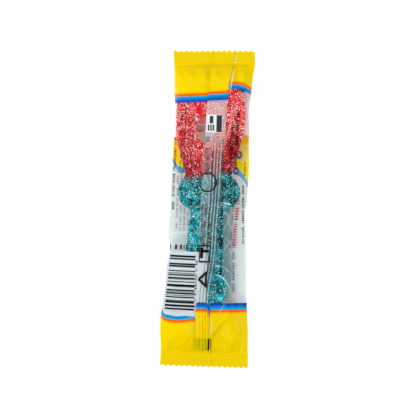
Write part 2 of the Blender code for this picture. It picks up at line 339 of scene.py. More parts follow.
def filmTop(x, y):
    fold = along(pack["foldHeight"], y)
    distance = keyDistance(x, y, pack["fillet"])
    share = stretch(distance, x, y)
    shoulder = (1.0 - np.clip(-distance / pack["shoulderWidth"], 0.0, 1.0)) ** 2
    dip = key["holeDip"] * np.clip(1.0 - holeReach(x, y), 0.0, 1.0) ** 0.5
    crown = pack["crown"] - pack["shoulderDrop"] * shoulder - dip
    fan = 1.0 + pack["fan"] * np.sin(y / pack["fanLength"])
    loose = 4.0 * share * (1.0 - share)      # 1 halfway between the key and the folds, 0 on both
    pleat = pack["pleatHeight"] * np.sin(2.0 * np.pi * x / (pack["pleatPitch"] * fan)) * loose
    body = 1.0 - smoothStep(np.abs(y), *pack["sealEase"])
    nearSeal = smoothStep(np.abs(y), pack["puckerStart"], pack["sealEase"][0]) * body
    pucker = pack["pucker"] * ripple(x, y * 0.25, pack["puckerLength"], 5) * nearSeal
    slack = pack["slack"] * ripple(x, y, pack["slackLength"], 3) * np.clip(loose + 0.15, 0.0, 1.0)
    dome = (crown - fold) * (1.0 - share ** pack["topPower"])
    rise = dome + pleat + (pucker + slack + creaseHeight(x, y)) * body
    sheet = pack["cadSheet"] / 2.0 * (1.0 - share) + pack["ply"] / 2.0 * share
    return fold + rise * np.clip(loose * 40.0 + (share < 0.5), 0.0, 1.0) + sheet + crimp(y)


def filmBottom(x, y):
    fold = along(pack["foldHeight"], y)
    share = stretch(keyDistance(x, y, pack["fillet"]) + pack["bellyInset"], x, y)
    return (fold - pack["ply"] / 2.0) * share ** pack["bottomPower"] + crimp(y) * share ** 8


# meshes

def raiseCopy(bm):                           # copies every face one unit up and walls in the rims
    upper = bmesh.ops.extrude_face_region(bm, geom=bm.faces[:])
    for item in upper["geom"]:
        if isinstance(item, bmesh.types.BMVert):
            item.co.z = 1.0


def toMesh(name, bm):                        # points and faces in a fixed order, the same on every run
    bm.verts.index_update()
    points = [tuple(round(value, 5) for value in vert.co) for vert in bm.verts]
    order = sorted(range(len(points)), key=points.__getitem__)
    place = {old: new for new, old in enumerate(order)}
    faces = []
    for face in bm.faces:
        corners = [place[vert.index] for vert in face.verts]
        first = corners.index(min(corners))
        faces.append(corners[first:] + corners[:first])
    bm.free()
    mesh = bpy.data.meshes.new(name)
    mesh.from_pydata([points[old] for old in order], [], sorted(faces))
    return mesh


def readPoints(mesh):
    points = np.empty(len(mesh.vertices) * 3)
    mesh.vertices.foreach_get("co", points)
    return points.reshape(-1, 3)


def filmSheet(name, size):                   # two layers joined at their rims, with close rows in the seals
    bm = bmesh.new()
    rows = 2 * size["sealRows"] + size["bodyRows"]
    bmesh.ops.create_grid(bm, x_segments=size["columns"], y_segments=rows, size=1.0)
    raiseCopy(bm)
    bmesh.ops.recalc_face_normals(bm, faces=bm.faces[:])
    mesh = toMesh(name, bm)
    u, v, layer = (readPoints(mesh) * (0.5, 0.5, 1.0) + (0.5, 0.5, 0.0)).T
    share = size["sealRows"] / rows
    stations = [-pack["halfLength"], -pack["sealLine"], pack["sealLine"], pack["halfLength"]]
    return mesh, u, np.interp(v, [0.0, share, 1.0 - share, 1.0], stations), layer


def cutEnds(x, y):                           # pulls the rows of the end seals in to the zigzag cut
    phase = x / pack["toothPitch"] + 0.5
    cut = pack["toothDepth"] * np.abs(2.0 * (phase - np.floor(phase)) - 1.0)
    past = np.abs(y) - pack["sealLine"]
    depth = pack["halfLength"] - pack["sealLine"]
    return np.where(past > 0.0, np.sign(y) * (pack["sealLine"] + past * (depth - cut) / depth), y)


def writePoints(mesh, x, y, z):              # a straight pack's millimetres in, the real one's metres out
    slant = pack["topSlant"] * smoothStep(y, pack["slantStart"], pack["sealLine"])
    placed = np.column_stack((x, y + slant * x - pack["middleShift"], z))
    mesh.vertices.foreach_set("co", (placed * mm).ravel())
    mesh.update()


def keepNumber(mesh, name, values):          # one number for each point, which a material reads by name
    attribute = mesh.attributes.new(name, "FLOAT", "POINT")
    attribute.data.foreach_set("value", np.asarray(values, dtype=np.float32))


def newPiece(name, mesh, materials):
    piece = newObject(name, mesh)
    mesh.materials.clear()
    for material in materials:
        mesh.materials.append(material)
    mesh.shade_smooth()
    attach(piece, "root")
    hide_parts("flow_pack")
    return piece


# printed film

inks = {
    "yellow": seen(247, 213, 0), "fieldYellow": seen(255, 230, 8), "olive": seen(168, 176, 10),
    "amber": seen(236, 160, 30), "orange": seen(255, 96, 0), "red": seen(186, 8, 44),
    "pink": seen(220, 108, 112), "rose": seen(212, 160, 164), "brown": seen(96, 60, 30),
    "cyan": seen(0, 172, 228), "hem": seen(74, 182, 228), "sea": seen(0, 130, 210),
    "blue": seen(24, 80, 184), "navy": seen(12, 66, 164), "violet": seen(84, 66, 170),
    "slate": seen(84, 92, 168), "mauve": seen(171, 170, 190), "cool": seen(164, 178, 196),
    "cream": seen(186, 182, 166), "paper": seen(205, 217, 221), "card": seen(236, 239, 243),
    "frostAndSheen": seen(250, 252, 253), "clear": seen(62, 68, 72), "inside": seen(122, 144, 152),
    "shadow": seen(78, 138, 144), "grooveShade": seen(4, 84, 96), "black": seen(12, 10, 12),
}

film = {"clearCover": 0.05, "frontCover": 0.36, "frontShadow": 0.36, "roughness": 0.08, "wrinkle": 0.2,
        "gloss": 0.03, "coat": 0.14, "inkCoat": 0.02, "throughLight": 0.08, "fieldLight": 0.2,
        "bandReach": 3.1, "columns": 128, "sealRows": 34, "bodyRows": 270, "gather": 0.45,
        "gatherEnds": (68.0, 74.0)}

paintedHighlightLines = [   # painted highlights along the film's creases: start, end, half width, strength
    ((10.5, 69.5), (9.4, 62.0), 0.34, 0.75), ((9.4, 62.0), (9.0, 58.0), 0.4, 0.5),
    ((5.0, 3.3), (8.2, 3.1), 0.3, 0.5), ((8.2, 3.1), (10.6, 2.6), 0.5, 0.75),
    ((8.2, -1.4), (10.2, -3.4), 0.3, 0.45), ((10.2, -3.4), (9.6, -7.2), 0.3, 0.4),
    ((9.6, -7.2), (8.1, -10.2), 0.25, 0.35), ((9.8, -14.3), (11.2, -16.7), 0.25, 0.3),
    ((11.2, -16.7), (8.4, -19.7), 0.25, 0.3), ((8.6, -28.8), (11.0, -30.8), 0.2, 0.6),
    ((4.6, -32.7), (7.1, -33.4), 0.3, 0.8), ((7.1, -33.4), (9.7, -35.4), 0.3, 0.7),
    ((9.7, -35.4), (11.5, -38.3), 0.3, 0.6), ((11.5, -38.3), (12.2, -41.5), 0.25, 0.35),
    ((2.8, -53.6), (3.4, -57.4), 0.22, 0.6), ((3.4, -57.4), (2.9, -63.8), 0.2, 0.7),
    ((-8.6, -8.2), (-4.4, -13.5), 0.2, 0.45), ((-6.6, -5.2), (-4.3, -3.1), 0.22, 0.5),
    ((-9.0, -13.0), (-6.0, -17.0), 0.2, 0.35), ((-8.2, -4.0), (-6.2, -2.4), 0.2, 0.3),
    ((-19.6, -13.4), (-10.6, -12.0), 0.4, 0.35), ((-19.4, -14.8), (-12.0, -13.9), 0.3, 0.2),
    ((6.9, -51.9), (9.6, -47.2), 0.35, 0.2), ((4.5, -28.2), (6.0, -28.4), 0.5, 0.5),
    ((-3.4, 31.0), (-3.6, 24.0), 0.2, 0.25), ((18.2, -36.5), (14.0, -44.0), 0.4, 0.2),
]

paintedShadeLines = [   # painted shade along creases on the yellow ends
    ((13.9, -50.4), (7.9, -57.6), 0.35, 0.55), ((7.9, -57.6), (4.0, -63.6), 0.45, 0.8),
    ((17.0, -56.5), (18.5, -61.5), 0.5, 0.25), ((-3.2, 57.5), (-0.8, 72.0), 0.3, 0.2),
    ((-8.0, -66.5), (-13.5, -70.5), 0.6, 0.25), ((10.5, -66.0), (15.5, -70.0), 0.5, 0.2),
]


def strokes(graph, vector, lines):           # 1 along each line, fading to its sides
    flat = graph.vector("MULTIPLY", vector, {1: (1.0, 1.0, 0.0)})
    drawn = []
    for start, end, halfWidth, strength in lines:
        run = np.subtract(end, start)
        offset = graph.vector("SUBTRACT", flat, {1: (*start, 0.0)})
        share = graph.vector("DOT_PRODUCT", offset, {1: (*(run / run.dot(run)), 0.0)})
        near = graph.vector("SCALE", (*run, 0.0), {"Scale": graph.add("ShaderNodeClamp", {}, {0: share})})
        gap = graph.vector("LENGTH", graph.vector("SUBTRACT", offset, {1: near}), {})
        drawn.append(graph.ramp(gap, halfWidth * 0.3, halfWidth * 1.3, strength, 0.0))
    return graph.most(*drawn)


def leaning(value, place, start, slope):     # a straight line that is at place where value is start
    return (value - start) * slope + place


def bandStart(graph, past):
    return graph.edge(past, -film["bandReach"], 0.15)


def bandColour(graph, past, deep):           # past: millimetres beyond the line between orange and cyan
    stops = [(0.0, inks[deep]), (0.13, inks["blue"]), (0.25, inks["sea"]), (0.37, inks["cyan"]),
             (0.4444, inks["cyan"]), (0.4445, inks["orange"]), (0.56, inks["orange"]), (0.74, inks["yellow"])]
    return graph.add("ShaderNodeValToRGB", {"stops": stops}, {"Fac": (past + 3.2) / 7.2})


def endBands(graph, pastTop, topBand, pastBottom, bottomBand):
    return [(bandColour(graph, pastTop, "violet"), topBand),
            (bandColour(graph, pastBottom, "navy"), bottomBand)]


def printField(graph, layers):               # (colour, cover), each layer over the ones before it
    colour, cover = layers[0]
    for nextColour, nextCover in layers[1:]:
        total = (1.0 - nextCover) * cover + nextCover
        colour = graph.mix(nextCover / total, colour, nextColour)
        cover = total
    return colour, cover


def wordRows(graph, x, y, block):            # rows of short marks that run along the pack, nothing to read
    firstX, rows, pitch, height, (low, high), wordLength, letterLength, seed, slant, ink = block
    row = (x - firstX - y * slant) / pitch
    line = graph.maths("FLOOR", row)
    rowMask = graph.between(graph.maths("FRACT", row), 0.5 - height / 2.0, 0.5 + height / 2.0, 0.15)
    area = graph.between(row, 0.0, rows, 0.05) * graph.between(y, low, high, 0.1)
    word = y / wordLength + graph.dice(line, 0.0, seed)
    wordEnd = graph.dice(line, graph.maths("FLOOR", word), seed) * 0.35 + 0.6
    wordMask = graph.edge(wordEnd - graph.maths("FRACT", word), 0.0, 0.06)
    letter = y / letterLength
    letterMask = graph.between(graph.maths("FRACT", letter), 0.1, 0.8, 0.2)
    tone = graph.dice(line, graph.maths("FLOOR", letter), seed + 0.5) * 0.45 + 0.6
    return area * rowMask * wordMask * letterMask * tone * ink


def allWords(graph, x, y, blocks):
    return graph.most(0.0, *(wordRows(graph, x, y, block) for block in blocks))


def paintShade(graph, y, colour, shade):         # painted shade over the print where it is folded or ribbed, and in the end seals
    shade = graph.most(shade, graph.edge(abs(y), pack["sealLine"], 0.5) * 0.25)
    return graph.vector("SCALE", colour, {"Scale": 1.0 - shade * 0.3})


def filmNormal(graph, vector):
    fine = graph.noise(vector, 0.35, 3.0, 0.55)
    return graph.add("ShaderNodeBump", {}, {"Strength": film["wrinkle"], "Distance": 0.0005, "Height": fine})


def filmShader(graph, vector, colour, cover, shine=0.0):
    rough = graph.noise(vector, 1.6, 2.0) * 0.05 + film["roughness"]
    finishMaterial(graph, {
        "Base Color": colour, "Alpha": cover, "Roughness": rough, "Normal": filmNormal(graph, vector),
        "Specular IOR Level": film["gloss"], "Coat Roughness": 0.05,
        "Coat Weight": film["coat"] - (film["coat"] - film["inkCoat"]) * cover,
        "Coat IOR": 1.6, "Emission Color": graph.mix(shine, (0.0, 0.0, 0.0), colour),
        "Emission Strength": 1.0})


back = {   # lines: place, start, slope; spans: low, high, softness; boxes: a span in x and a span in y
    "root": (2.3, -50.0, 0.0536), "topLeft": (55.3, -18.0, 0.07), "topRight": 62.4,
    "curlStart": 12.5, "curl": 0.056, "bottomLeft": -54.3, "bottomRight": (-50.3, 3.0, 0.035),
    "sagMiddle": -14.0, "sagWidth": 6.5, "sag": 1.7, "leftHem": 1.9, "rightHem": 3.3,
    "label": (-60.0, -21.6, 0.15), "labelRight": 0.3,
    "bars": (-51.6, -22.6, 0.1), "barsLeft": (-18.3, -23.0, 0.074), "barsRight": -5.6,
    "barsLean": 0.012, "boldPitch": 1.9, "thinPitch": 0.62,
    "blockRow": ((-18.6, -9.6, 0.2), (-20.6, -18.3, 0.2)),
    "glint": ((10.5, 11.7, 0.4), (72.6, 78.6, 0.3)),
    "tick": ((3.15, 3.6, 0.15), (-71.0, -64.7, 0.2)),
}

# rows of marks: first row's x, rows, pitch, mark height, ends in y, word, letter, seed, slant, ink
backWords = [
    (-18.6, 1, 1.8, 0.7, (-1.0, 20.5), 6.5, 0.95, 1.0, 0.0, 0.95),
    (-18.1, 1, 1.5, 0.75, (20.5, 34.5), 6.1, 0.95, 1.5, 0.0, 0.9),
    (-16.6, 3, 1.9, 0.6, (-11.0, 19.0), 5.6, 0.85, 2.0, 0.0, 0.5),
    (-10.9, 1, 1.7, 0.6, (-9.0, -1.5), 5.0, 0.85, 2.5, 0.0, 0.45),
    (-15.6, 2, 1.5, 0.55, (17.0, 50.0), 5.9, 1.0, 3.0, 0.012, 0.85),
    (-12.2, 2, 1.9, 0.45, (15.5, 46.0), 5.9, 0.9, 3.5, 0.012, 0.55),
    (9.3, 1, 2.0, 0.8, (17.0, 43.0), 7.3, 1.15, 4.0, 0.01, 0.95),
    (11.4, 1, 2.0, 0.8, (20.0, 48.5), 7.3, 1.15, 4.5, 0.02, 1.0),
    (10.2, 2, 1.7, 0.65, (3.0, 16.5), 5.8, 0.9, 5.0, 0.0, 0.85),
    (16.6, 1, 1.5, 0.7, (-17.0, 12.5), 7.2, 0.95, 6.0, -0.034, 1.0),
    (16.9, 1, 1.5, 0.65, (15.5, 24.0), 5.2, 0.95, 6.5, 0.0, 0.8),
    (11.8, 1, 1.6, 0.65, (-42.0, -21.0), 5.4, 0.8, 7.0, -0.03, 0.75),
    (5.9, 1, 1.6, 0.85, (-33.0, 36.0), 7.5, 1.25, 8.0, -0.02, 1.0),
    (11.7, 1, 1.5, 0.5, (-19.0, 2.0), 7.1, 0.9, 8.5, 0.06, 0.65),
    (-5.4, 1, 1.4, 0.7, (-51.5, -26.0), 3.0, 1.5, 9.0, 0.01, 0.85),
]

redWords = (13.4, 1, 2.1, 0.85, (-19.0, 4.5), 8.0, 1.3, 10.0, 0.07, 1.0)


def labelBars(graph, x, y):                  # generic bars across the white label, in no readable order
    tilted = y + x * back["barsLean"]
    bold, thin = tilted / back["boldPitch"], tilted / back["thinPitch"]
    boldCell, thinCell = graph.maths("FLOOR", bold), graph.maths("FLOOR", thin)
    offset = graph.dice(boldCell, 0.0, 5.0) * 0.5 + 0.25
    halfWidth = graph.dice(boldCell, 0.0, 6.0) * 0.17 + 0.13
    boldBar = graph.below(abs(graph.maths("FRACT", bold) - offset) - halfWidth, 0.0, 0.08)
    thinLine = graph.below(abs(graph.maths("FRACT", thin) - 0.5), 0.34, 0.1)
    thinBar = graph.edge(graph.dice(thinCell, 0.0, 7.0), 0.52, 0.02) * thinLine
    sides = graph.edge(x - leaning(y, *back["barsLeft"]), 0.0, 0.1) * graph.below(x, back["barsRight"], 0.1)
    return graph.most(boldBar, thinBar * 0.85) * graph.between(y, *back["bars"]) * sides


def backPrint():
    material, graph = newMaterial("backPrint")
    vector, x, y = placeInMm(graph)
    pastRoot = graph.edge(x - leaning(y, *back["root"]), 0.0, 0.1)
    topLeft = leaning(x, *back["topLeft"])
    curl = graph.most(x - back["curlStart"], 0.0)
    topRight = back["topRight"] - curl * curl * back["curl"]
    pastTop = y - (topLeft + (topRight - topLeft) * pastRoot)
    sag = (x - back["sagMiddle"]) / back["sagWidth"]
    corner = graph.edge(-x, 20.8, 2.0) * 1.2
    bottomLeft = back["bottomLeft"] - back["sag"] / (1.0 + sag * sag) + corner
    bottomRight = leaning(x, *back["bottomRight"])
    pastBottom = bottomLeft + (bottomRight - bottomLeft) * pastRoot - y
    topBand = graph.edge(pastTop, pastRoot * 0.9 - film["bandReach"], 0.15)
    leftHem = back["leftHem"] + graph.edge(-x, 21.1, 0.5) * 1.1 - graph.edge(x, -8.0, 6.0) * 0.9
    bottomHem = leftHem + (back["rightHem"] - leftHem) * pastRoot
    bottomBand = graph.edge(pastBottom + bottomHem, 0.0, 0.15)
    label = graph.between(y, *back["label"]) * graph.below(x, back["labelRight"], 0.1)
    blockCell = graph.dice(graph.maths("FLOOR", x / back["thinPitch"]), 0.0, 12.0)
    blocks = graph.box(x, y, back["blockRow"]) * graph.edge(blockCell, 0.42, 0.05)
    words = graph.most(allWords(graph, x, y, backWords), blocks * 0.9)
    # whitish streaks on the clear film: partly the film's own haze, partly painted sheen
    streaks = graph.noise(graph.vector("MULTIPLY", vector, {1: (1.0, 0.2, 1.0)}), 0.5, 3.0)
    frostAndSheen = graph.edge(streaks, 0.66, 0.3) * 0.10
    breaks = graph.noise(vector, 0.9, 3.0) * 1.6
    # painted highlights along the creases, broken up by noise
    creaseHighlight = graph.least(strokes(graph, vector, paintedHighlightLines) * breaks, 0.9)
    # painted shade along the creases, on the end bands only
    creaseShade = strokes(graph, vector, paintedShadeLines) * graph.most(topBand, bottomBand)
    ribWave = graph.maths("COSINE", (y - pack["sealLine"]) * 2.0 * math.pi / pack["ribPitch"])
    glint = graph.box(x, y, back["glint"]) * graph.edge(ribWave, 0.75, 0.3)
    layers = [(inks["clear"], film["clearCover"]), (inks["frostAndSheen"], frostAndSheen), (inks["paper"], label),
              (inks["black"], labelBars(graph, x, y)), (inks["black"], words),
              (inks["red"], wordRows(graph, x, y, redWords)),
              *endBands(graph, pastTop, topBand, pastBottom, bottomBand), (inks["frostAndSheen"], creaseHighlight),
              (inks["frostAndSheen"], glint), (inks["brown"], graph.box(x, y, back["tick"]))]
    colour, cover = printField(graph, layers)
    filmShader(graph, vector, paintShade(graph, y, colour, creaseShade), cover)
    return material


front = {   # the print that shows through from below; lines, spans and boxes as on the back
    "top": 59.3, "topSlope": 0.02, "bottom": -51.0, "upperMiddle": -4.0, "upper": 38.6,
    "upperCurve": 0.023, "flatter": 0.0183, "lobe": (9.0, 10.6, 11.0), "corner": (-14.2, 0.27, 20.55),
    "rings": [((14.7, 27.5), (2.0, 4.4)), ((13.3, 19.4), (2.2, 3.4))],
    "hole": ((-9.0, 3.0, 0.5), (31.0, 47.0, 0.3)), "overHole": ((-9.0, 3.0, 0.5), (42.2, 47.0, 0.3)),
    "shank": (-46.0, 4.0, 7.0), "besideShank": (4.0, 17.5, 6.0),
}


def ovalReach(x, y, middle, spread):         # 0 in the middle of an oval, 1 on its rim
    return ((x - middle[0]) ** 2.0 / spread[0] + (y - middle[1]) ** 2.0 / spread[1]) ** 0.5


def frontPrint():
    material, graph = newMaterial("frontPrint")
    vector, x, y = placeInMm(graph)
    pastTop = y - (front["top"] + x * front["topSlope"] + graph.edge(x, 14.5, 3.0) * 2.8)
    pastBottom = front["bottom"] - y
    topBand, bottomBand = bandStart(graph, pastTop), bandStart(graph, pastBottom)

    # the yellow field, its upper edge through the hole and its lower edge round the collar
    aside = x - front["upperMiddle"]
    onRight = graph.edge(aside, 0.0, 0.1)
    pastUpper = y - front["upper"] + aside * aside * (front["upperCurve"] - front["flatter"] * onRight)
    lobeX, lobeRadius, lobeY = front["lobe"]
    onLobe = graph.least(graph.most(x - lobeX, 0.0) / lobeRadius, 1.0)
    lowerRight = (1.0 - onLobe * onLobe) ** 0.5 * lobeRadius + lobeY
    cornerX, cornerCurve, cornerY = front["corner"]
    inCorner = graph.least(x - cornerX, 0.0)
    lowerLeft = inCorner * inCorner * cornerCurve + cornerY
    pastLower = lowerLeft + (lowerRight - lowerLeft) * graph.edge(x, 0.0, 16.0) - y
    field = graph.edge(-pastUpper, 0.0, 0.15) * graph.edge(-pastLower, 0.0, 0.15)
    foldedField = graph.between(-pastUpper, 0.0, 3.2, 0.4) * graph.edge(x, 10.0, 2.0)
    paleField = graph.between(y, 24.5, 33.0, 2.0) * graph.edge(x, 13.5, 3.0)
    orangeHem = graph.between(pastUpper, 0.0, 0.9, 0.2) * (1.0 - onRight * 0.4)
    violetHem = graph.between(pastUpper, 0.9, 3.4, 0.2) * graph.between(x, -9.0, 6.0, 3.0)
    lightHem = graph.between(pastLower, 0.0, 2.0, 0.3)
    blueHem = graph.between(pastLower, 2.0, 2.7, 0.4)
    ringReach = graph.least(*(ovalReach(x, y, *ring) for ring in front["rings"]))

    # the clear film: its grey tint with painted shade, a painted shadow beside the shank, and a rose tint
    # over the bow
    patches = graph.noise(vector, 0.12, 2.0) * 8.0
    # painted shadow of the key beside the shank, in noisy patches
    shankShadow = graph.between(y, *front["shank"]) * graph.between(x + patches, *front["besideShank"])
    aboveField = graph.edge(y, 36.0, 4.0)
    besideBow = graph.edge(x, 14.0, 3.0) * (1.0 - graph.edge(x, 17.6, 0.8) * 0.3) * aboveField
    clear = shankShadow * film["frontShadow"] + film["frontCover"] * (1.0 - aboveField * 0.6) + besideBow * 0.45
    lining = graph.mix(aboveField, graph.mix(shankShadow, inks["inside"], inks["shadow"]), inks["rose"])
    underHole = graph.mix(graph.edge(x, -2.6, 1.0), inks["cream"], inks["cool"])
    overHole = graph.box(x, y, front["overHole"])
    layers = [(lining, clear), (inks["fieldYellow"], field), (inks["orange"], foldedField * 0.22),
              (inks["card"], paleField * 0.16), (underHole, graph.between(x, -9.5, 3.5, 1.0) * field),
              (inks["pink"], overHole * 0.95), (inks["orange"], orangeHem), (inks["mauve"], violetHem),
              (inks["hem"], lightHem), (inks["blue"], blueHem * 0.7),
              (inks["amber"], graph.below(ringReach, 0.5, 0.15) * 0.85),
              (inks["slate"], graph.between(ringReach, 0.45, 1.0, 0.15)),
              *endBands(graph, pastTop, topBand, pastBottom, bottomBand)]
    colour, cover = printField(graph, layers)
    onLeft = graph.edge(-x, 12.0, 4.0)
    fieldShine = field * (film["fieldLight"] + onLeft * 0.3) + lightHem * (onLeft * 0.3 + 0.35)
    holeShine = graph.box(x, y, front["hole"]) * (1.0 - orangeHem) * 0.3 + overHole * 0.12
    filmShader(graph, vector, colour, cover, film["throughLight"] + fieldShine + holeShine)
    return material


def makeFilm():
    mesh, u, y, layer = filmSheet("filmTube", film)
    gather = film["gather"] * (1.0 - smoothStep(np.abs(y), *film["gatherEnds"]))
    spread = u + (0.5 - 0.5 * np.cos(np.pi * u) - u) * gather
    left, right = -along(pack["leftFold"], y), along(pack["rightFold"], y)
    x = left + (right - left) * spread
    y = cutEnds(x, y)
    z = np.where(layer > 0.5, filmTop(x, y), filmBottom(x, y))
    writePoints(mesh, x, y, z)
    newPiece("filmTube", mesh, [backPrint(), frontPrint()])
    normals = np.empty(len(mesh.polygons) * 3)
    mesh.polygons.foreach_get("normal", normals)
    below = (normals.reshape(-1, 3)[:, 2] < 0.0).astype(np.int32)
    mesh.polygons.foreach_set("material_index", below)
    mesh.update()
    print("film tube:", len(mesh.polygons), "faces")


# fin seal

fin = {
    "freeEdge": [(79.5, 0.0), (62.0, -1.6), (45.0, -2.65), (5.0, -4.1), (-40.0, -3.9), (-52.0, -4.8),
                 (-79.5, -4.4)],
    "root": [(79.5, 11.3), (70.0, 10.4), (62.0, 8.5), (45.0, 7.4), (15.0, 6.7), (-18.0, 5.4),
             (-48.0, 2.4), (-64.0, 2.9), (-79.5, 4.2)],
    "lift": 0.5, "gap": 0.02, "crease": 0.3, "creaseShare": 0.94, "creaseWidth": 0.05, "tuck": (0.9, 1.0),
    "rib": 0.15, "ribs": 4, "ribsEnd": (34.0, 46.0), "plainShare": 0.36, "ply": 0.12,
    "pressed": 0.4, "pressedEnds": (71.4, 72.4), "columns": 48, "sealRows": 34, "bodyRows": 240,
    "wander": 0.12, "wanderLength": 17.0, "flutter": 0.05, "flutterLength": 14.0,
    "ribPitch": 1.55, "haze": 0.02, "plainHaze": 0.05, "topHaze": 0.18, "ribHighlightCover": 0.17, "grooveShade": 0.36,
}

finMarks = {   # lines, spans and boxes as on the back
    "top": 57.1, "topSlope": 0.085, "bottom": -49.9, "slip": 2.2,
    "icon": ((-2.4, 5.5, 0.2), (38.1, 47.0, 0.2)), "iconBar": ((2.7, 5.4, 0.2), (38.3, 46.8, 0.2)),
    "iconComb": ((-1.7, 1.9, 0.2), (38.9, 42.0, 0.2)), "iconDot": ((-0.7, 1.1, 0.3), (42.6, 46.3, 0.3)),
    "ringMiddle": (-0.95, 13.2), "ring": (4.2, 4.85, 0.2),
    "squareMiddle": (-1.1, -22.4), "square": (3.65, 4.35, 0.2),
    "squareBar": ((-3.3, -2.0, 0.3), (-24.6, -19.4, 0.3)),
    "squareArm": ((-2.2, 1.0, 0.3), (-21.7, -20.5, 0.3)),
    "triangleMiddle": -35.2, "triangle": (-1.0, 0.0, 0.2),
    "block": (-70.8, -64.8, 0.4), "blockRight": 1.8, "ticks": ((1.8, 2.7, 0.15), (-70.9, -64.7, 0.2)),
}

finWords = [   # columns as in backWords
    (-2.8, 1, 2.7, 0.85, (17.5, 36.0), 9.0, 0.95, 21.0, 0.0, 0.5),
    (0.4, 1, 1.5, 0.75, (16.5, 31.0), 5.5, 0.8, 22.0, 0.0, 0.65),
    (-3.8, 2, 1.75, 0.7, (-18.5, 2.5), 5.5, 0.85, 23.0, 0.01, 0.42),
    (0.1, 1, 1.35, 0.8, (-17.5, -6.5), 4.4, 0.8, 24.0, 0.0, 0.9),
]


def finSigns(graph, x, y):                   # a ring, a square with two bars in it, and a triangle
    ringX, ringY = x - finMarks["ringMiddle"][0], y - finMarks["ringMiddle"][1]
    ring = graph.between((ringX * ringX + ringY * ringY) ** 0.5, *finMarks["ring"])
    squareX, squareY = x - finMarks["squareMiddle"][0], y - finMarks["squareMiddle"][1]
    square = graph.between(graph.most(abs(squareX) * 1.5, abs(squareY)), *finMarks["square"])
    bars = [graph.box(x, y, finMarks[name]) for name in ("squareBar", "squareArm")]
    slope = abs(y - finMarks["triangleMiddle"]) * 0.73 - (x + 4.4) * 0.683
    triangle = graph.between(graph.most(x - 0.4, slope), *finMarks["triangle"])
    return graph.most(ring, square, triangle, *bars)


def finPrint():
    material, graph = newMaterial("finPrint")
    vector, x, y = placeInMm(graph)
    across = graph.add("ShaderNodeAttribute", {"attribute_name": "across"}, {}, "Fac")
    pastTop = y - (finMarks["top"] + x * finMarks["topSlope"])
    slip = graph.most(finMarks["slip"] - across, 0.0)
    pastBottom = finMarks["bottom"] - slip * slip * 0.75 - y
    topBand, bottomBand = bandStart(graph, pastTop), bandStart(graph, pastBottom)
    comb = graph.between(graph.maths("FRACT", (x + 1.7) / 1.2), 0.12, 0.8, 0.15)
    icon, iconBar, iconComb, iconDot = (
        graph.box(x, y, finMarks[name]) for name in ("icon", "iconBar", "iconComb", "iconDot"))
    iconDots = graph.most(iconComb * comb, iconDot)
    marks = graph.most(finSigns(graph, x, y), allWords(graph, x, y, finWords))
    ribWave = graph.maths("COSINE", across * 2.0 * math.pi / fin["ribPitch"])
    ribbed = graph.between(across, 0.3, 6.4, 0.5) * graph.below(y, 32.0, 12.0)
    # painted highlights along the fin's ribs
    ribHighlights = graph.edge(ribWave, 0.6, 0.7) * ribbed
    grooves = graph.below(ribWave, -0.2, 1.0) * ribbed
    streak = graph.noise(graph.vector("MULTIPLY", vector, {1: (1.0, 0.1, 1.0)}), 0.9, 3.0)
    plain = graph.edge(across, 6.2, 0.8) * fin["plainHaze"]
    haze = fin["haze"] + graph.most(fin["topHaze"] * graph.edge(y, 33.0, 16.0), plain)
    # the fin's whitish haze, with painted rib highlights and streaks of haze and painted sheen
    hazeAndSheen = haze + ribHighlights * fin["ribHighlightCover"] + graph.edge(streak, 0.58, 0.25) * 0.05
    onLabel = graph.between(y, -60.0, -21.6, 0.5) * graph.below(x, back["labelRight"], 0.5)
    # painted shade in the grooves between the fin's ribs, half as strong over the label
    soft = grooves * (1.0 - onLabel * 0.5) * fin["grooveShade"]
    block = graph.between(y, *finMarks["block"]) * graph.below(x, finMarks["blockRight"], 0.3)
    layers = [(inks["frostAndSheen"], hazeAndSheen), (inks["grooveShade"], soft), (inks["card"], icon),
              (inks["black"], iconBar * 0.95), (inks["black"], iconDots * 0.95), (inks["black"], marks),
              *endBands(graph, pastTop, topBand, pastBottom, bottomBand),
              (inks["olive"], block * (0.75 - graph.edge(ribWave, 0.0, 1.2) * 0.4)),
              (inks["black"], graph.box(x, y, finMarks["ticks"]))]
    colour, cover = printField(graph, layers)
    # the grooves' painted shade also darkens the bottom band
    filmShader(graph, vector, paintShade(graph, y, colour, grooves * bottomBand * 0.45), cover)
    return material


def finLift(share, y):                       # height of the fin over the film, from free edge 0 to root 1
    pressed = smoothStep(np.abs(y), *fin["pressedEnds"])
    ribShare = np.clip((share - fin["plainShare"]) / (1.0 - fin["plainShare"]), 0.0, 1.0)
    ribs = fin["rib"] * -np.cos(2.0 * np.pi * fin["ribs"] * ribShare) * np.clip(ribShare * 8.0, 0.0, 1.0)
    ribs = ribs * (1.0 - smoothStep(y, *fin["ribsEnd"]))
    crease = fin["crease"] * np.exp(-((share - fin["creaseShare"]) / fin["creaseWidth"]) ** 2)
    height = fin["lift"] + crease + ribs * (1.0 - pressed)
    tuck = smoothStep(share, *fin["tuck"])
    return height * (1.0 - pressed * (1.0 - fin["pressed"])) * (1.0 - tuck) + fin["gap"]


def makeFin():
    mesh, u, y, layer = filmSheet("finSeal", fin)
    free, root = along(fin["freeEdge"], y), along(fin["root"], y)
    x = free + (root - free) * u
    y = cutEnds(x, y)
    wander = fin["wander"] * ripple(x * 0.0, y, fin["wanderLength"], 21, 6) * (1.0 - u)
    x = x + wander
    wave = 1.0 + ripple(x * 0.3, y, fin["flutterLength"], 22, 8)
    flutter = fin["flutter"] * wave * (1.0 - u) * (np.abs(y) < pack["sealEase"][0])
    z = filmTop(x, y) + finLift(u, y) + flutter + np.where(layer > 0.5, fin["ply"], 0.0)
    writePoints(mesh, x, y, z)
    keepNumber(mesh, "across", root - x + wander)
    newPiece("finSeal", mesh, [finPrint()])
    print("fin seal:", len(mesh.polygons), "faces")


# gummy key

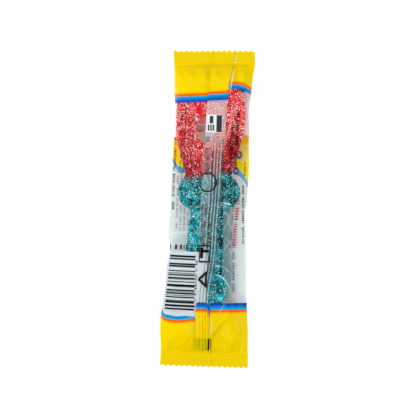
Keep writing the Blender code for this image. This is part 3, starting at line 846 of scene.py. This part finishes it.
jelly = {
    "halfX": 19.0, "lowY": -52.0, "highY": 65.0, "cell": 0.5, "inset": 0.7, "fillet": 1.6, "wallCuts": 5,
    "top": 10.2, "bottom": 0.95, "topRound": 1.5, "bottomRound": 4.4, "sink": 0.35, "sinkReach": 5.0,
    "lump": 0.09, "lumpLength": 4.0, "bulge": 0.12, "bulgeLength": 6.0,
    "border": 16.8, "borderSoft": 4.0, "innerLight": 0.25,
    "bareSpots": [((11.8, 31.5), (4.6, 7.0), 0.0), ((-5.4, 48.4), (1.9, 5.6), -0.62)],
}

fruit = {   # pairs with painted light: teals shaded on the collar's right and lit towards the left and the shank's end, reds shaded at the neck and lit up the bow
    "deepTeal": (seen(0, 30, 36), seen(0, 48, 56)), "lightTeal": (seen(0, 160, 168), seen(0, 202, 216)),
    "paleTeal": (seen(116, 228, 236), seen(40, 206, 218)),
    "deepRed": (seen(110, 0, 14), seen(186, 0, 14)), "lightRed": (seen(204, 34, 50), seen(255, 52, 58)),
    "paleRed": (seen(236, 150, 158), seen(255, 196, 192)), "bareRed": (seen(164, 0, 12), seen(226, 0, 24)),
}


def jellyBorder(graph, x, y, vector):        # 0 in the teal, 1 in the red
    sway = graph.noise(vector, 0.16, 2.0) * 3.0
    return graph.edge(y - x * 0.2 + sway, jelly["border"] + 1.5, jelly["borderSoft"])


def bareness(graph, x, y):                   # 1 where the sugar has melted and smooth jelly shows
    total = 0.0
    for (middleX, middleY), (halfX, halfY), tilt in jelly["bareSpots"]:
        dx, dy = x - middleX, y - middleY
        across = (dx * math.cos(tilt) - dy * math.sin(tilt)) / halfX
        lengthwise = (dx * math.sin(tilt) + dy * math.cos(tilt)) / halfY
        total = graph.most(total, graph.ramp(across * across + lengthwise * lengthwise, 0.5, 1.3, 1.0, 0.0))
    return total


def fruitColours(graph, x, y, vector):       # deep and light jelly and pale sugar, teal below and red above
    hue = jellyBorder(graph, x, y, vector)
    upper = graph.edge(y, 26.0, 22.0)
    onShank = graph.below(y, -3.0, 6.0)
    shankLitShare = graph.edge(-x, 4.5, 3.0) * onShank * 0.6 + onShank * 0.4
    # side and upper: painted light, how much of each pair's lit colour shows
    side = graph.most(graph.edge(-x, 9.0, 4.0) * 0.55, shankLitShare, graph.edge(-y, 29.0, 14.0) * 0.9)
    bare = bareness(graph, x, y)
    bareRed = graph.mix(graph.edge(y, 40.0, 6.0), *fruit["bareRed"])
    deepRed = graph.mix(bare, graph.mix(upper, *fruit["deepRed"]), bareRed)
    lightRed = graph.mix(bare, graph.mix(upper, *fruit["lightRed"]), bareRed)
    paleRed = graph.mix(bare * 0.6, graph.mix(upper, *fruit["paleRed"]), bareRed)
    # the deep colours stand in for the jelly and for the painted shade in the gaps between sugar crystals
    deep = graph.mix(hue, graph.mix(side, *fruit["deepTeal"]), deepRed)
    light = graph.mix(hue, graph.mix(side, *fruit["lightTeal"]), lightRed)
    pale = graph.mix(hue, graph.mix(side, *fruit["paleTeal"]), paleRed)
    return deep, light, pale


def jellyMaterial():
    material, graph = newMaterial("fruitJelly")
    vector, x, y = placeInMm(graph)
    deep, light, pale = fruitColours(graph, x, y, vector)
    depth = graph.noise(vector, 0.28, 3.0)
    colour = graph.mix(graph.edge(depth, 0.52, 0.35), deep, light)
    grain = graph.noise(vector, 2.6, 3.0, 0.6)
    bump = graph.add("ShaderNodeBump", {}, {"Strength": 0.7, "Distance": 0.0004, "Height": grain})
    finishMaterial(graph, {
        "Base Color": colour, "Roughness": grain * 0.3 + 0.25, "Normal": bump,
        "Subsurface Weight": 0.3, "Subsurface Radius": (0.004, 0.002, 0.002), "Subsurface Scale": 0.5,
        "Specular IOR Level": 0.1, "Emission Color": colour, "Emission Strength": jelly["innerLight"]})
    return material


def jellyDistance(x, y):
    hole = (1.0 - holeReach(x, y)) * min(key["holeHalf"])
    return np.maximum(keyDistance(x, y, jelly["fillet"]) + jelly["inset"], hole)


def roundEdge(depth, radius):                # how far a rounded edge falls, depth in from the rim
    return radius - np.sqrt(radius ** 2 - np.maximum(radius - depth, 0.0) ** 2)


def snapRim(bm):                             # moves the rim's points on to the key's true outline
    rim = [vert for vert in bm.verts if vert.is_boundary]
    x, y = np.array([(vert.co.x, vert.co.y) for vert in rim]).T
    step, rounds, share, flattest = 0.02, 6, 0.9, 0.05
    for _ in range(rounds):
        distance = jellyDistance(x, y)
        slopeX = (jellyDistance(x + step, y) - jellyDistance(x - step, y)) / (2.0 * step)
        slopeY = (jellyDistance(x, y + step) - jellyDistance(x, y - step)) / (2.0 * step)
        size = np.maximum(slopeX ** 2 + slopeY ** 2, flattest)
        x = x - distance * slopeX / size * share
        y = y - distance * slopeY / size * share
    for vert, newX, newY in zip(rim, x, y):
        vert.co.x, vert.co.y = round(newX, 3), round(newY, 3)


def makeKey():
    halfX, lowY, highY, cell = jelly["halfX"], jelly["lowY"], jelly["highY"], jelly["cell"]
    columns, rows = round(2.0 * halfX / cell), round((highY - lowY) / cell)
    bm = bmesh.new()
    bmesh.ops.create_grid(bm, x_segments=columns, y_segments=rows, size=1.0)
    for vert in bm.verts:
        vert.co.x *= halfX
        vert.co.y = (vert.co.y + 1.0) / 2.0 * (highY - lowY) + lowY
    x, y = np.array([(vert.co.x, vert.co.y) for vert in bm.verts]).T
    outside = jellyDistance(x, y) > cell * 0.4
    bmesh.ops.delete(bm, geom=[vert for vert, out in zip(bm.verts, outside) if out], context="VERTS")
    corners = [face for face in bm.faces if sum(edge.is_boundary for edge in face.edges) > 2]
    bmesh.ops.delete(bm, geom=corners, context="FACES")
    snapRim(bm)
    raiseCopy(bm)
    walls = [edge for edge in bm.edges if abs(edge.verts[0].co.z - edge.verts[1].co.z) > 0.5]
    bmesh.ops.subdivide_edges(bm, edges=walls, cuts=jelly["wallCuts"])
    bmesh.ops.recalc_face_normals(bm, faces=bm.faces[:])
    mesh = toMesh("gummyKey", bm)
    x, y, level = readPoints(mesh).T
    depth = np.maximum(-jellyDistance(x, y), 0.0)
    sink = jelly["sink"] * smoothStep(depth, 0.0, jelly["sinkReach"])
    high = jelly["top"] - roundEdge(depth, jelly["topRound"]) - sink
    low = jelly["bottom"] + roundEdge(depth, jelly["bottomRound"])
    z = low + (high - low) * level
    z = z + jelly["lump"] * ripple(x, y, jelly["lumpLength"], 31) * np.clip(depth / 2.0, 0.0, 1.0)
    bulge = jelly["bulge"] * ripple(x + z, y - z, jelly["bulgeLength"], 33)
    x = x + bulge * (np.abs(level - 0.5) < 0.45)
    writePoints(mesh, x, y, z)
    piece = newPiece("gummyKey", mesh, [jellyMaterial()])
    print("gummy key:", len(mesh.polygons), "faces")
    return piece


# sugar

sugar = {   # density in crystals for each square metre, size in metres
    "density": 4.1e6, "size": 0.00052, "sizeMin": 0.65, "sizeMax": 1.25, "seed": 5,
    "below": 0.55, "above": 1.4, "onBare": 0.1, "patchScale": 260.0, "thinnest": 0.25,
}


def sugarMaterial():
    material, graph = newMaterial("sugarCrystals")
    vector, x, y = placeInMm(graph)
    deep, light, pale = fruitColours(graph, x, y, vector)
    tint = graph.add("ShaderNodeAttribute", {"attribute_name": "clearness"}, {}, "Fac")
    paleness = tint + graph.edge(y, 32.0, 16.0) * 0.12 + 0.05
    colour = graph.mix(graph.edge(tint, 0.36, 0.1), deep, light)
    colour = graph.mix(graph.edge(paleness, 0.78, 0.4), colour, pale)
    # the palest crystals turn white: white sugar, with painted glints
    colour = graph.mix(graph.edge(paleness, 0.98, 0.05), colour, seen(255, 255, 255))
    finishMaterial(graph, {
        "Base Color": colour, "Roughness": 0.15, "Specular IOR Level": 0.35,
        "Emission Color": colour, "Emission Strength": jelly["innerLight"]})
    return material


def sugarTree(material):
    tree = bpy.data.node_groups.new("sugarCoat", "GeometryNodeTree")
    sockets = [("Geometry", "NodeSocketGeometry", None), ("Density", "NodeSocketFloat", sugar["density"]),
               ("Size", "NodeSocketFloat", sugar["size"]), ("Seed", "NodeSocketInt", sugar["seed"])]
    for name, kind, value in sockets:
        socket = tree.interface.new_socket(name, in_out="INPUT", socket_type=kind)
        if value is not None:
            socket.default_value = value
    tree.interface.new_socket("Geometry", in_out="OUTPUT", socket_type="NodeSocketGeometry")
    graph = Graph(tree)
    given = graph.add("NodeGroupInput")
    inputs = {name: Wire(graph, given.socket.node.outputs[name]) for name, kind, start in sockets}
    place = graph.add("GeometryNodeInputPosition")
    patch = graph.add("ShaderNodeTexNoise", {},
                      {"Vector": place, "Scale": sugar["patchScale"], "Detail": 2.0})
    patchy = graph.add("ShaderNodeMapRange", {}, {"Value": patch, "From Min": 0.36, "From Max": 0.52,
                                                  "To Min": sugar["thinnest"], "To Max": 1.0})
    x, y = graph.split(graph.vector("SCALE", place, {"Scale": 1.0 / mm}))[:2]
    coated = 1.0 - bareness(graph, x, y + pack["middleShift"]) * (1.0 - sugar["onBare"])
    up = graph.split(graph.add("GeometryNodeInputNormal"))[2]
    thick = patchy * graph.ramp(up, -0.3, 0.3, sugar["below"], sugar["above"]) * coated
    points = graph.add("GeometryNodeDistributePointsOnFaces", {"distribute_method": "RANDOM"},
                       {"Mesh": inputs["Geometry"], "Density": inputs["Density"] * thick,
                        "Seed": inputs["Seed"]})
    crystal = graph.add("GeometryNodeMeshUVSphere", {}, {"Segments": 4, "Rings": 2, "Radius": 0.6})
    turn = graph.add("FunctionNodeRandomValue", {"data_type": "FLOAT_VECTOR"},
                     {"Max": (math.tau, math.tau, math.tau), "Seed": 2})
    small, large = inputs["Size"] * sugar["sizeMin"], inputs["Size"] * sugar["sizeMax"]
    scale = graph.add("FunctionNodeRandomValue", {"data_type": "FLOAT"}, {2: small, 3: large, "Seed": 3}, 1)
    placed = graph.add("GeometryNodeInstanceOnPoints", {},
                       {"Points": points, "Instance": crystal, "Rotation": turn, "Scale": scale})
    shade = graph.add("FunctionNodeRandomValue", {"data_type": "FLOAT"}, {2: 0.0, 3: 1.0, "Seed": 4}, 1)
    stored = graph.add("GeometryNodeStoreNamedAttribute", {"data_type": "FLOAT", "domain": "INSTANCE"},
                       {"Geometry": placed, "Name": "clearness", "Value": shade})
    real = graph.add("GeometryNodeRealizeInstances", {}, {"Geometry": stored})
    dressed = graph.add("GeometryNodeSetMaterial", {}, {"Geometry": real, "Material": material})
    graph.add("NodeGroupOutput", {}, {"Geometry": dressed})
    return tree


def makeSugar(keyPiece):
    material = sugarMaterial()
    tree = sugarTree(material)
    carrier = newObject("sugarCarrier", keyPiece.data.copy())
    modifier = carrier.modifiers.new("coat", "NODES")
    modifier.node_group = tree
    names = {item.name: item.identifier for item in tree.interface.items_tree if item.in_out == "INPUT"}
    modifier[names["Density"]] = sugar["density"]
    modifier[names["Size"]] = sugar["size"]
    modifier[names["Seed"]] = sugar["seed"]
    evaluated = carrier.evaluated_get(bpy.context.evaluated_depsgraph_get())
    mesh = bpy.data.meshes.new_from_object(evaluated)
    bpy.data.objects.remove(carrier, do_unlink=True)
    mesh.name = "sugarCrystals"
    newPiece("sugarCrystals", mesh, [material])
    mesh.shade_flat()
    print("sugar:", len(mesh.polygons) // 8, "crystals")


# floor and light

studio = {
    "floorSize": 4.0, "floorHeight": -0.0001, "floor": (0.93, 0.93, 0.93), "floorGlow": 0.3, "world": 0.08,
    "softboxes": [   # name, place, size, power
        ("leftBox", (-1.15, 0.15, 0.95), (0.9, 1.4), 17.2),
        ("rightBox", (1.2, 0.0, 0.95), (0.9, 1.4), 11.6),
        ("backBox", (-0.2, 0.95, 1.25), (1.4, 0.7), 9.5),
        ("frontBox", (0.0, -0.95, 1.25), (1.4, 0.7), 9.5),
    ],
}


def makeStudio():
    bm = bmesh.new()
    bmesh.ops.create_grid(bm, x_segments=2, y_segments=2, size=studio["floorSize"] / 2.0)
    bmesh.ops.translate(bm, verts=bm.verts[:], vec=(0.0, 0.0, studio["floorHeight"]))
    floor = newObject("floor", toMesh("floor", bm))
    material, graph = newMaterial("paleFloor")
    finishMaterial(graph, {"Base Color": (*studio["floor"], 1.0), "Roughness": 0.9, "Specular IOR Level": 0.0,
                           "Emission Color": (1.0, 1.0, 1.0, 1.0), "Emission Strength": studio["floorGlow"]})
    floor.data.materials.append(material)
    for name, place, size, power in studio["softboxes"]:
        data = bpy.data.lights.new(name, "AREA")
        data.shape = "RECTANGLE"
        data.size, data.size_y = size
        data.energy = power
        light = newObject(name, data)
        light.location = place
        aim = -light.location                # towards the pack
        light.rotation_euler = aim.to_track_quat("-Z", "Y").to_euler()
    world = bpy.data.worlds.new("softRoom")
    bpy.context.scene.world = world
    world.use_nodes = True
    background = world.node_tree.nodes["Background"]
    background.inputs["Color"].default_value = (1.0, 1.0, 1.0, 1.0)
    background.inputs["Strength"].default_value = studio["world"]
    bpy.context.scene.view_settings.view_transform = "Standard"
    print("studio ready")


makeFilm()
makeFin()
makeSugar(makeKey())
makeStudio()
